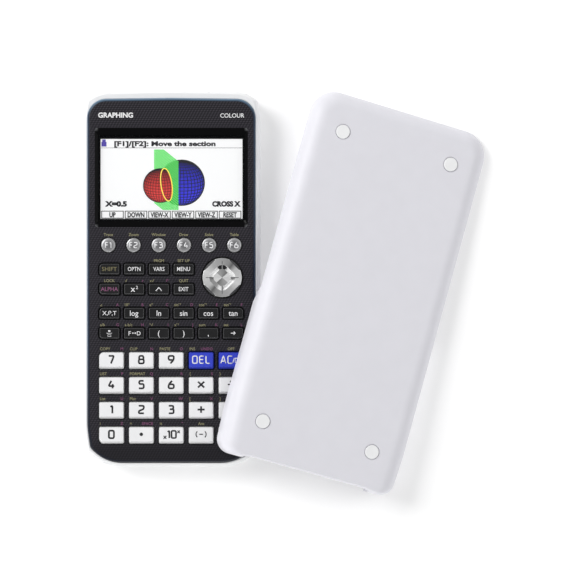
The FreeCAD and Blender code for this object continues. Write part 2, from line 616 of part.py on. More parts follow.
def slide_cover():
    """The hard cover: a shallow tray, deep-walled over the keys, with rails that run in the case's grooves."""
    levels = [(cover_outline(0.0, 0.0, 0.0), 0.0)]
    for turn in COVER_EDGE_TURNS:
        angle = math.radians(turn)
        w = COVER_EDGE_START + (COVER_DEPTH - COVER_EDGE_START) * math.sin(angle)
        roll = 1 - math.cos(angle)
        levels.append((cover_outline(0.2 + COVER_SIDE_ROLL * roll, 0.1 + COVER_TOP_ROLL * roll,
                                     0.05 + COVER_END_ROLL * roll), w))
    outer = loft(levels)

    def inside(inset, end_inset):
        half = COVER_HALF_WIDTH - inset
        return rectangle(-half, -COVER_HALF_LENGTH - 8, half, COVER_HALF_LENGTH - end_inset, (1, 1, 11.5, 11.5))

    inner = loft([(inside(COVER_WALL + 0.1, 2.0), -1.0), (inside(COVER_WALL + 0.15, 2.0), 6.0),
                  (inside(2.7, 2.3), 8.5), (inside(4.0, 2.9), 10.3), (inside(6.0, 3.9), 11.6),
                  (inside(8.2, 5.2), 12.3), (inside(11.5, 7.0), COVER_CEILING)])
    shell = outer.cut(inner)

    v0, v1 = COVER_RAMP
    ramp = Part.makePolygon([V(-60, v0, -1), V(-60, v0, 0), V(-60, v1, COVER_SHALLOW_RIM),
                             V(-60, 120, COVER_SHALLOW_RIM), V(-60, 120, -1), V(-60, v0, -1)])
    shell = shell.cut(Part.Face(ramp).extrude(V(120, 0, 0)))

    inner_half = COVER_HALF_WIDTH - COVER_WALL
    end_v = -COVER_HALF_LENGTH
    inner_corner = COVER_CORNER - COVER_WALL
    room = prism(rectangle(-inner_half, end_v + COVER_WALL, inner_half, 0.0,
                           (inner_corner, inner_corner, 1.0, 1.0)), -1.0, COVER_CEILING)
    for low_u, high_u in ((-60.0, -COVER_MOUTH_HALF_WIDTH), (COVER_MOUTH_HALF_WIDTH, 60.0)):
        corner = outer.common(block(low_u, end_v - 1, -1.0, high_u, end_v + 9, COVER_DEPTH + 1))
        shell = shell.fuse(corner.cut(room))

    for side in (1, -1):
        tip, root = side * (inner_half - RAIL_DEPTH), side * (inner_half + 0.6)
        shell = shell.fuse(block(min(tip, root), -86.0, RAIL_W[0], max(tip, root), v0 - 4, RAIL_W[1]))
    recesses = [rod(u, v, COVER_DEPTH - FOOT_RECESS_DEPTH, COVER_DEPTH + 1, FOOT_RECESS_RADIUS)
                for u, v in foot_centres()]
    return leaning(shell.cut(recesses).removeSplitter())


def foot_centres():
    u, v = COVER_FEET
    return [(u, v), (-u, v), (u, -v), (-u, -v)]


def cover_feet():
    """Four round rubber feet set in the cover's outer face."""
    feet = []
    for u, v in foot_centres():
        foot = rod(u, v, COVER_DEPTH - FOOT_RECESS_DEPTH, COVER_DEPTH + FOOT_PROUD, FOOT_RADIUS)
        top = [e for e in foot.Edges if e.BoundBox.ZMin > COVER_DEPTH]
        feet.append(foot.makeFillet(0.3, top))
    return leaning(Part.makeCompound(feet))


def leaning(shape):
    """Places a shape from the cover's own frame to where it leans on the calculator."""
    turn = (FreeCAD.Rotation(V(0, 0, 1), COVER_YAW)
            * FreeCAD.Rotation(V(1, 0, 0), -COVER_PITCH)
            * FreeCAD.Rotation(V(0, 1, 0), COVER_ROLL))
    placed = shape.copy()
    placed.transformShape(FreeCAD.Placement(V(*COVER_ORIGIN), turn).toMatrix())
    return placed


# ---- Output ---------------------------------------------------------------------------------------


def all_parts():
    """Every node's shape by name."""
    parts = {
        "front_case": front_case(),
        "rear_case": rear_case(),
        "battery_cover": battery_cover(),
        "display_window": display_window(),
        "lcd_module": lcd_module(),
        "main_board": main_board(),
        "keypad_membrane": keypad_membrane(),
        "batteries": batteries(),
        "battery_contacts": battery_contacts(),
        "case_screws": case_screws(),
        "nav_disc": nav_disc(),
        "nav_base": nav_base(),
        "slide_cover": slide_cover(),
        "cover_feet": cover_feet(),
    }
    for name, (x, y, size, top_z, corner, slope) in key_layout().items():
        parts[name] = keycap(x, y, size, top_z, corner, slope)
    for name, (x, y) in round_layout().items():
        parts[name] = round_key(x, y)
    return parts


def main():
    os.makedirs("parts", exist_ok=True)
    for name, shape in all_parts().items():
        solids = shape.Solids
        volume = sum(s.Volume for s in solids)
        if not shape.isValid() or volume <= 0:
            print(f"{name}: invalid")
        shape.exportStep(f"parts/{name}.step")
        print(f"{name}: {len(solids)} solid(s), {volume:.1f} mm3")


main()
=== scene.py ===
"""Looks of a graphing calculator and its slide-on cover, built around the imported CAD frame. Metres."""

import json
import math

import bmesh
import bpy
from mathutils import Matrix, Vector


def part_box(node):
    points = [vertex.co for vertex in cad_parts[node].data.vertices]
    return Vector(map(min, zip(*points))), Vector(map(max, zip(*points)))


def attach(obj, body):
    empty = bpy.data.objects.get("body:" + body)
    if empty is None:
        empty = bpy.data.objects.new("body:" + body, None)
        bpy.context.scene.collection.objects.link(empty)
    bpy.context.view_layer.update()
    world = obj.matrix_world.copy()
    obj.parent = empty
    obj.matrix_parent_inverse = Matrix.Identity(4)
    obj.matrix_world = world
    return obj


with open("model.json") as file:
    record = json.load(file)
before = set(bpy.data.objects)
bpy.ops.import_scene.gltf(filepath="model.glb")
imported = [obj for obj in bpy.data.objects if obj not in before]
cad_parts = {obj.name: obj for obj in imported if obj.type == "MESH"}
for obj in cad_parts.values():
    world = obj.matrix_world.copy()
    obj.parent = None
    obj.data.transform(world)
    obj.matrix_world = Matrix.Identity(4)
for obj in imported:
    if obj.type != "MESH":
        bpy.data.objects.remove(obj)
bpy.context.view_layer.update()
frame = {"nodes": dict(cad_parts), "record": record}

MM = 0.001
NODES = frame["nodes"]


def span(node):
    """A node's lowest and highest corners, in millimetres."""
    lo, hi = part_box(node)
    return [c / MM for c in lo], [c / MM for c in hi]


# ---- Materials ------------------------------------------------------------------------------------

# Where a Mix node keeps its first number, first colour and mixed colour sockets.
NUMBER_A = 2
COLOUR_A = 6
COLOUR_OUT = 2


class Paint:
    """A Principled material with small helpers for its node tree. Places are in the frame, in millimetres."""

    def __init__(self, name, colour, roughness, **sockets):
        self.material = bpy.data.materials.new(name)
        self.material.use_nodes = True
        self.tree = self.material.node_tree
        self.shader = self.tree.nodes["Principled BSDF"]
        self.set("Base Color", (*colour, 1.0))
        self.set("Roughness", roughness)
        for socket, value in sockets.items():
            self.set(socket.replace("_", " "), value)
        self.material.diffuse_color = (*colour, 1.0)
        self._place = None

    def set(self, socket, value):
        self.shader.inputs[socket].default_value = value

    def node(self, kind, **settings):
        made = self.tree.nodes.new(kind)
        for key, value in settings.items():
            setattr(made, key, value)
        return made

    def link(self, source, target):
        self.tree.links.new(source, target)

    def place(self):
        """The surface point in millimetres."""
        if self._place is None:
            coordinates = self.node("ShaderNodeTexCoord")
            scale = self.node("ShaderNodeVectorMath", operation="SCALE")
            scale.inputs["Scale"].default_value = 1 / MM
            self.link(coordinates.outputs["Object"], scale.inputs[0])
            self._place = scale.outputs[0]
        return self._place

    def axes(self):
        split = self.node("ShaderNodeSeparateXYZ")
        self.link(self.place(), split.inputs[0])
        return split.outputs

    def math(self, operation, a, b=None):
        made = self.node("ShaderNodeMath", operation=operation)
        for slot, value in zip(made.inputs, (a, b)):
            if value is None:
                continue
            if isinstance(value, (int, float)):
                slot.default_value = value
            else:
                self.link(value, slot)
        return made.outputs[0]

    def away(self, value, middle):
        """The distance from a middle line, on either side."""
        return self.math("ABSOLUTE", self.math("SUBTRACT", value, middle))

    def within(self, value, middle, half):
        """1 closer than half to a middle line, else 0."""
        return self.math("LESS_THAN", self.away(value, middle), half)

    def both(self, a, b):
        return self.math("MULTIPLY", a, b)

    def noise(self, scale, detail=2.0, stretch=None):
        made = self.node("ShaderNodeTexNoise")
        made.inputs["Scale"].default_value = scale
        made.inputs["Detail"].default_value = detail
        source = self.place()
        if stretch:
            stretched = self.node("ShaderNodeVectorMath", operation="MULTIPLY")
            stretched.inputs[1].default_value = stretch
            self.link(source, stretched.inputs[0])
            source = stretched.outputs[0]
        self.link(source, made.inputs["Vector"])
        return made.outputs["Fac"]

    def ramp(self, factor, stops):
        """A colour ramp. A stop is (position, colour) or (position, grey level)."""
        made = self.node("ShaderNodeValToRGB")
        elements = made.color_ramp.elements
        while len(elements) < len(stops):
            elements.new(0.5)
        for element, (position, colour) in zip(elements, stops):
            element.position = position
            if not isinstance(colour, tuple):
                colour = (colour,) * 3
            element.color = (*colour, 1.0)
        self.link(factor, made.inputs[0])
        return made.outputs[0]

    def range(self, value, lo, hi, to_lo, to_hi):
        made = self.node("ShaderNodeMapRange")
        for slot, number in zip(("From Min", "From Max", "To Min", "To Max"), (lo, hi, to_lo, to_hi)):
            made.inputs[slot].default_value = number
        self.link(value, made.inputs["Value"])
        return made.outputs[0]

    def mix(self, factor, a, b):
        made = self.node("ShaderNodeMix", data_type="RGBA")
        self.link(factor, made.inputs["Factor"])
        for slot, value in zip(made.inputs[COLOUR_A:], (a, b)):
            if isinstance(value, tuple):
                slot.default_value = (*value, 1.0)
            else:
                self.link(value, slot)
        return made.outputs[COLOUR_OUT]

    def colour(self, source):
        self.link(source, self.shader.inputs["Base Color"])

    def roughness(self, source):
        self.link(source, self.shader.inputs["Roughness"])

    def bump(self, height, strength, distance):
        made = self.node("ShaderNodeBump")
        made.inputs["Strength"].default_value = strength
        made.inputs["Distance"].default_value = distance * MM
        self.link(height, made.inputs["Height"])
        self.link(made.outputs[0], self.shader.inputs["Normal"])


def moulded(name, colour, roughness, variation=0.03, grain=1.2, bump=0.15, **sockets):
    """Moulded plastic: faint mottling, uneven gloss and a fine grain."""
    paint = Paint(name, colour, roughness, **sockets)
    darker = tuple(c * (1 - variation) for c in colour)
    lighter = tuple(min(c * (1 + variation), 1.0) for c in colour)
    paint.colour(paint.ramp(paint.noise(0.12, 3.0), [(0.35, darker), (0.65, lighter)]))
    paint.roughness(paint.range(paint.noise(0.5, 4.0), 0.3, 0.7, roughness * 0.85, roughness * 1.15))
    paint.bump(paint.noise(grain, 3.0), bump, 0.02)
    return paint


def metal(name, colour, roughness, stretch):
    """Plated or turned metal with fine scratches along one direction."""
    paint = Paint(name, colour, roughness, Metallic=1.0)
    scratches = paint.noise(6.0, 4.0, stretch)
    paint.roughness(paint.range(scratches, 0.25, 0.75, roughness * 0.7, roughness * 1.4))
    darker = tuple(c * 0.88 for c in colour)
    paint.colour(paint.ramp(scratches, [(0.3, darker), (0.7, colour)]))
    return paint


TWILL_ROW = 1.08
TWILL_LENGTH = 1.5
TWILL_SHIFT = -0.38  # of a thread's length, from one row to the next
TWILL_SLANT = -0.55  # of a thread's length, across one row


def twill(paint):
    """Height of a fine weave: short slanted threads in rows, each row shifted against the one below."""

    def arch(t):
        """A hump that is 0 at t = 0 and t = 1, and 1 in the middle."""
        return paint.math("MULTIPLY", paint.math("MULTIPLY", t, paint.math("SUBTRACT", 1.0, t)), 4.0)

    x, y, _ = paint.axes()
    rows = paint.math("DIVIDE", y, TWILL_ROW)
    shift = paint.math("MULTIPLY", paint.math("FLOOR", rows), TWILL_SHIFT)
    across = paint.math("FRACT", rows)
    slant = paint.math("MULTIPLY", across, TWILL_SLANT)
    phase = paint.math("ADD", paint.math("ADD", paint.math("DIVIDE", x, TWILL_LENGTH), shift), slant)
    return paint.math("MULTIPLY", arch(paint.math("FRACT", phase)), arch(across))


# Places on the face plate: the flat face, the bevel's height, the display surround and the field of keys.
FLAT_FACE_Z = 17.19
BEVEL_Z = (15.6, 17.2)
SURROUND_Y = 50.0
SURROUND_HALF = (39.5, 27.0)
MITRE_Y = 50.4
KEYS_Y = -31.0
KEYS_HALF = (38.5, 54.0)


def front_paint():
    """Twill-textured face, glossy black display surround and a navy metallic bevel, told apart by place; the
    bevel and the surround's corners carry painted highlights, and painted shade darkens the face and bevel
    towards the lower end.
    """
    paint = Paint("front_shell", (0.018, 0.0175, 0.021), 0.5, Specular_IOR_Level=0.25)
    x, y, z = paint.axes()
    weave = twill(paint)
    threads = paint.ramp(weave, [(0.0, (0.0050, 0.0045, 0.0068)), (0.35, (0.0130, 0.0117, 0.0165)),
                                 (0.65, (0.0250, 0.0225, 0.0300)), (1.0, (0.0430, 0.0395, 0.0490))])
    # Painted shade: the face is darkened towards its lower end.
    painted_shade_lower_end = paint.range(y, -79.0, -85.0, 0.0, 0.65)
    face_colour = paint.mix(painted_shade_lower_end, threads, (0.0050, 0.0046, 0.0070))

    # The bevel's navy metallic colour is its own. The lighter blue towards the bevel's foot and the lighter
    # top trim are painted highlights, and the darkening towards the bottom is painted shade.
    up_bevel = paint.range(z, *BEVEL_Z, 0.0, 1.0)
    side_trim = paint.ramp(up_bevel, [(0.0, (0.50, 0.64, 0.78)), (0.3, (0.16, 0.27, 0.40)),
                                      (0.55, (0.012, 0.03, 0.07)), (1.0, (0.008, 0.010, 0.018))])
    top_trim = paint.ramp(up_bevel, [(0.0, (0.60, 0.72, 0.82)), (0.5, (0.20, 0.31, 0.43)),
                                     (1.0, (0.03, 0.055, 0.09))])
    at_top = paint.range(y, 82.0, 88.5, 0.0, 1.0)
    trim_painted_shade_at_bottom = paint.range(y, -30.0, -84.0, 0.0, 1.0)
    trim = paint.mix(trim_painted_shade_at_bottom, paint.mix(at_top, side_trim, top_trim), (0.010, 0.012, 0.020))

    # Painted highlight: the display surround's sloped corners are painted light grey, where the lamps would
    # glint.
    corner_x = paint.range(paint.away(x, 0.0), 36.3, 37.8, 0.0, 1.0)
    corner_y = paint.range(paint.away(y, MITRE_Y), 23.0, 24.5, 0.0, 1.0)
    corners = paint.both(corner_x, corner_y)
    mitre_painted_highlight = paint.mix(corners, (0.0022, 0.0022, 0.0026), (0.16, 0.165, 0.17))

    flat = paint.math("GREATER_THAN", z, FLAT_FACE_Z)
    surround = paint.both(paint.within(x, 0.0, SURROUND_HALF[0]),
                          paint.within(y, SURROUND_Y, SURROUND_HALF[1]))
    key_field = paint.both(paint.within(x, 0.0, KEYS_HALF[0]), paint.within(y, KEYS_Y, KEYS_HALF[1]))
    edges = paint.mix(key_field, trim, (0.0045, 0.0045, 0.0055))
    slopes = paint.mix(surround, edges, mitre_painted_highlight)
    paint.colour(paint.mix(flat, slopes, face_colour))

    slope_gloss = paint.math("SUBTRACT", 0.30, paint.math("MULTIPLY", surround, 0.08))
    face_gloss = paint.range(weave, 0.0, 1.0, 0.68, 0.50)
    rough = paint.node("ShaderNodeMix", data_type="FLOAT")
    paint.link(flat, rough.inputs["Factor"])
    paint.link(slope_gloss, rough.inputs[NUMBER_A])
    paint.link(face_gloss, rough.inputs[NUMBER_A + 1])
    paint.roughness(rough.outputs[0])
    recessed = paint.both(surround, paint.math("SUBTRACT", 1.0, flat))
    paint.link(paint.range(recessed, 0.0, 1.0, 0.25, 0.10), paint.shader.inputs["Specular IOR Level"])
    paint.bump(paint.both(weave, flat), 0.25, 0.05)
    return paint


def key_paint():
    """Black key plastic whose sloped, rounded edges are painted lighter, a painted highlight where the edges
    catch the light.
    """
    paint = moulded("dark_key", (0.0095, 0.0095, 0.0105), 0.26, 0.08, bump=0.05, Specular_IOR_Level=0.45)
    facing = paint.node("ShaderNodeSeparateXYZ")
    paint.link(paint.node("ShaderNodeTexCoord").outputs["Normal"], facing.inputs[0])
    upward = facing.outputs["Z"]
    # Painted highlight: the key's sloped sides and rounded rims are painted light grey.
    edge = paint.both(paint.math("GREATER_THAN", upward, 0.25), paint.math("LESS_THAN", upward, 0.985))
    mottling = paint.noise(0.12, 3.0)
    body = paint.ramp(mottling, [(0.35, (0.0088, 0.0088, 0.0096)), (0.65, (0.0103, 0.0103, 0.0112))])
    paint.colour(paint.mix(edge, body, (0.085, 0.085, 0.088)))
    return paint


def glass_paint():
    """Clear window plastic with faint smears in its gloss."""
    paint = Paint("window_glass", (0.03, 0.035, 0.04), 0.03, Alpha=0.05)
    paint.roughness(paint.range(paint.noise(0.05, 2.0), 0.3, 0.7, 0.02, 0.05))
    return paint


CHIP_Z = 12.59  # the board's underside, below which the chips hang


def board_paint():
    """Green solder mask with lighter tracks under it, and black chips below the board."""
    paint = moulded("board", (0.01, 0.13, 0.05), 0.35, 0.08)
    x, _, z = paint.axes()
    lanes = paint.math("LESS_THAN", paint.math("FRACT", paint.math("MULTIPLY", x, 0.55)), 0.3)
    bands = paint.math("GREATER_THAN", paint.noise(0.09, 1.0), 0.5)
    solder_mask = paint.mix(paint.both(lanes, bands), (0.008, 0.11, 0.045), (0.02, 0.20, 0.08))
    chip = paint.math("LESS_THAN", z, CHIP_Z)
    paint.colour(paint.mix(chip, solder_mask, (0.02, 0.02, 0.022)))
    return paint


BAY_MIDDLE_Y = -57.0


def cell_paint():
    """A printed sleeve in two plain bands, with bare metal ends."""
    paint = Paint("cell", (0.2, 0.22, 0.25), 0.3, Metallic=0.6)
    _, y, _ = paint.axes()
    from_middle = paint.away(y, BAY_MIDDLE_Y)
    band = paint.math("GREATER_THAN", from_middle, 12.0)
    sleeve = paint.mix(band, (0.03, 0.032, 0.036), (0.62, 0.42, 0.10))
    ends = paint.math("GREATER_THAN", from_middle, 21.0)
    paint.colour(paint.mix(ends, sleeve, (0.72, 0.72, 0.70)))
    paint.roughness(paint.range(paint.noise(2.0), 0.3, 0.7, 0.22, 0.38))
    return paint


PAD_CENTRE = (25.4, 0.5)
PAD_TOP_LEVEL = 18.30  # above this the disc is flat on top
PAD_FACET_LEVEL = 18.28
PAD_CHANNEL = (3.4, 7.2)  # radii between which the sloped channel runs
PAD_ISLAND = 4.6  # radius of the middle that is turned apart from the rest


def pad_paint():
    """Turned metal: fine rings, with bright and dark sectors painted by angle as a painted reflection of the
    kind such turning shows, and painted highlight and shade on the channel walls.
    """
    paint = Paint("turned_silver", (0.62, 0.62, 0.63), 0.38, Metallic=0.55)
    x, y, z = paint.axes()
    dx = paint.math("SUBTRACT", x, PAD_CENTRE[0])
    dy = paint.math("SUBTRACT", y, PAD_CENTRE[1])
    radius = paint.math("SQRT", paint.math("ADD", paint.both(dx, dx), paint.both(dy, dy)))
    angle = paint.math("ARCTAN2", dy, dx)
    half_turns = paint.math("FRACT", paint.math("ADD", paint.math("DIVIDE", angle, math.pi), 2.0))
    # Painted reflection: bright and dark sectors set by the angle around the pad, one set outside the island
    # and one inside.
    outside = paint.ramp(half_turns, [(0.0, 0.78), (0.18, 0.66), (0.29, 0.17), (0.36, 0.36), (0.5, 0.46),
                                      (0.72, 0.56), (0.88, 0.86), (1.0, 0.78)])
    inside = paint.ramp(half_turns, [(0.0, 0.80), (0.11, 0.95), (0.21, 0.85), (0.25, 0.22), (0.45, 0.36),
                                     (0.66, 0.46), (0.74, 0.44), (0.80, 0.85), (1.0, 0.80)])
    metal_with_painted_reflection = paint.mix(paint.math("LESS_THAN", radius, PAD_ISLAND), outside, inside)

    raised = paint.math("GREATER_THAN", z, PAD_TOP_LEVEL)
    ring = paint.both(paint.math("GREATER_THAN", radius, PAD_CHANNEL[0]),
                      paint.math("LESS_THAN", radius, PAD_CHANNEL[1]))
    channel = paint.both(ring, paint.math("SUBTRACT", 1.0, raised))
    # Painted highlight and shade on the channel walls, set by the angle around the pad.
    whole_turn = paint.math("FRACT", paint.math("ADD", paint.math("DIVIDE", angle, math.tau), 1.0))
    walls_painted_light = paint.ramp(whole_turn, [(0.0, 0.88), (0.44, 0.86), (0.49, 0.80), (0.51, 0.30), (0.66, 0.34),
                                    (0.70, 0.86), (0.95, 0.92), (0.97, 0.40)])
    with_channel = paint.mix(channel, metal_with_painted_reflection, walls_painted_light)

    diagonal = paint.math("GREATER_THAN", paint.math("ABSOLUTE", paint.both(dx, dy)), 32.0)
    facets = paint.both(paint.math("LESS_THAN", z, PAD_FACET_LEVEL), diagonal)
    paint.colour(paint.mix(facets, with_channel, (0.040, 0.040, 0.043)))
    dull = paint.math("MAXIMUM", channel, facets)
    paint.link(paint.range(dull, 0.0, 1.0, 0.55, 0.0), paint.shader.inputs["Metallic"])
    rings = paint.math("SINE", paint.math("MULTIPLY", radius, 38.0))
    paint.roughness(paint.range(rings, -1.0, 1.0, 0.30, 0.44))
    paint.bump(rings, 0.08, 0.01)
    return paint


def dome_paint():
    """Satin plated dome, painted brighter towards its edge and darker at its top as a painted reflection,
    with fine mottling in the gloss.
    """
    paint = Paint("silver_key", (0.40, 0.40, 0.41), 0.30, Metallic=0.6)
    _, _, z = paint.axes()
    speckle = paint.noise(3.0, 3.0)
    # Painted reflection: light at the dome's foot, dark at its top.
    height = paint.math("ADD", paint.range(z, 17.90, 18.28, 0.0, 1.0), paint.math("MULTIPLY", speckle, 0.12))
    paint.colour(paint.ramp(height, [(0.0, (0.72, 0.72, 0.73)), (0.35, (0.52, 0.52, 0.53)),
                                     (1.0, (0.25, 0.25, 0.26))]))
    paint.roughness(paint.range(speckle, 0.3, 0.7, 0.27, 0.36))
    return paint


PAINTS = {
    "white_shell": moulded("white_shell", (0.87, 0.875, 0.885), 0.32, 0.012, Specular_IOR_Level=0.35),
    "black_shell": front_paint(),
    "window": glass_paint(),
    "display": moulded("display_black", (0.003, 0.003, 0.0035), 0.3, Specular_IOR_Level=0.2),
    "circuit_board": board_paint(),
    "silicone": moulded("silicone", (0.45, 0.46, 0.47), 0.6, 0.05),
    "cell": cell_paint(),
    "spring_steel": metal("spring_steel", (0.70, 0.69, 0.66), 0.25, (1, 6, 1)),
    "screw_steel": metal("screw_steel", (0.34, 0.34, 0.35), 0.32, (4, 1, 1)),
    "silver_key": dome_paint(),
    "dark_key": key_paint(),
    "white_key": moulded("white_key", (0.88, 0.88, 0.89), 0.34, 0.01, Specular_IOR_Level=0.3),
    "blue_key": moulded("blue_key", (0.040, 0.062, 0.56), 0.30, 0.04, Specular_IOR_Level=0.3),
    "silver_pad": pad_paint(),
    "dark_base": moulded("dark_base", (0.02, 0.02, 0.02), 0.5),
    "cover_shell": moulded("cover_shell", (0.795, 0.79, 0.84), 0.42, 0.008, bump=0.08,
                           Specular_IOR_Level=0.3),
    "feet": moulded("feet", (0.93, 0.935, 0.94), 0.55, 0.02, 3.0, 0.2),
}

SLOT_OF = {part["node"]: part["material_slot"] for part in frame["record"]["subparts"]}
for node_name, node in NODES.items():
    node.data.materials.clear()
    node.data.materials.append(PAINTS[SLOT_OF[node_name]].material)

# ---- Mesh helpers ---------------------------------------------------------------------------------


def smooth_faces():
    """A node group that welds a tessellated shell and shades it smooth, but keeps its real corners sharp."""
    tree = bpy.data.node_groups.new("smooth_faces", "GeometryNodeTree")
    tree.interface.new_socket("Geometry", in_out="INPUT", socket_type="NodeSocketGeometry")
    tree.interface.new_socket("Geometry", in_out="OUTPUT", socket_type="NodeSocketGeometry")
    start = tree.nodes.new("NodeGroupInput")
    drop = tree.nodes.new("GeometryNodeRemoveAttribute")
    drop.inputs["Name"].default_value = "custom_normal"
    weld = tree.nodes.new("GeometryNodeMergeByDistance")
    weld.inputs["Distance"].default_value = 0.002 * MM
    soft = tree.nodes.new("GeometryNodeSetShadeSmooth")
    soft.domain = "FACE"
    angle = tree.nodes.new("GeometryNodeInputMeshEdgeAngle")
    corner = tree.nodes.new("FunctionNodeCompare")
    corner.operation = "GREATER_THAN"
    corner.inputs["B"].default_value = math.radians(28)
    sharp = tree.nodes.new("GeometryNodeSetShadeSmooth")
    sharp.domain = "EDGE"
    sharp.inputs["Shade Smooth"].default_value = False
    end = tree.nodes.new("NodeGroupOutput")
    tree.links.new(angle.outputs["Unsigned Angle"], corner.inputs["A"])
    tree.links.new(corner.outputs["Result"], sharp.inputs["Selection"])
    for before, after in ((start, drop), (drop, weld), (weld, soft), (soft, sharp), (sharp, end)):
        tree.links.new(before.outputs[0], after.inputs[0])
    return tree


SMOOTH = smooth_faces()
for node in NODES.values():
    shading = node.modifiers.new("shading", "NODES")
    shading.node_group = SMOOTH
    balance = node.modifiers.new("balance", "WEIGHTED_NORMAL")
    balance.keep_sharp = True


def add_piece(name, mesh, paint, body):
    """Links a mesh as a piece that rides on a body, with the given paint."""
    piece = bpy.data.objects.new(name, mesh)
    bpy.context.scene.collection.objects.link(piece)
    piece.data.materials.clear()
    piece.data.materials.append(paint.material)
    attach(piece, body)
    return piece


def evaluated(data):
    """The mesh of a curve or text datablock."""
    holder = bpy.data.objects.new("holder", data)
    bpy.context.scene.collection.objects.link(holder)
    bpy.context.view_layer.update()
    mesh = bpy.data.meshes.new_from_object(holder.evaluated_get(bpy.context.evaluated_depsgraph_get()))
    bpy.data.objects.remove(holder)
    return mesh


CAP_HEIGHT = 0.729  # of the built-in font's size


def lettering(text, height, weight):
    """A word as a flat mesh in millimetres, its capitals of the given height, on a baseline at y = 0."""
    curve = bpy.data.curves.new("word", "FONT")
    curve.body = text
    curve.size = height / CAP_HEIGHT
    curve.resolution_u = 3
    curve.offset = weight * curve.size
    curve.extrude = 0.04
    return evaluated(curve)


CORNER_STEPS = 4


def rounded(points, radius, closed):
    """A path with its corners replaced by short arcs."""
    made = []
    count = len(points)
    for i, point in enumerate(points):
        if not closed and i in (0, count - 1):
            made.append(point)
            continue
        here = Vector(point)
        before = Vector(points[i - 1]) - here
        after = Vector(points[(i + 1) % count]) - here
        reach = min(radius, before.length / 2.01, after.length / 2.01)
        start = here + before.normalized() * reach
        end = here + after.normalized() * reach
        for step in range(CORNER_STEPS + 1):
            t = step / CORNER_STEPS
            made.append(tuple(start * (1 - t) ** 2 + here * 2 * t * (1 - t) + end * t ** 2))
    return made


def strokes(paths, width, flatness=0.14):
    """Paths of (points, closed) as flattened round strokes, in millimetres."""
    curve = bpy.data.curves.new("strokes", "CURVE")
    curve.dimensions = "3D"
    curve.bevel_depth = width / 2
    curve.bevel_resolution = 2
    curve.use_fill_caps = True
    for points, closed in paths:
        spline = curve.splines.new("POLY")
        spline.points.add(len(points) - 1)
        for slot, point in zip(spline.points, points):
            slot.co = (point[0], point[1], 0.0, 1.0)
        spline.use_cyclic_u = closed
    mesh = evaluated(curve)
    for vertex in mesh.vertices:
        vertex.co.z *= flatness
    return mesh


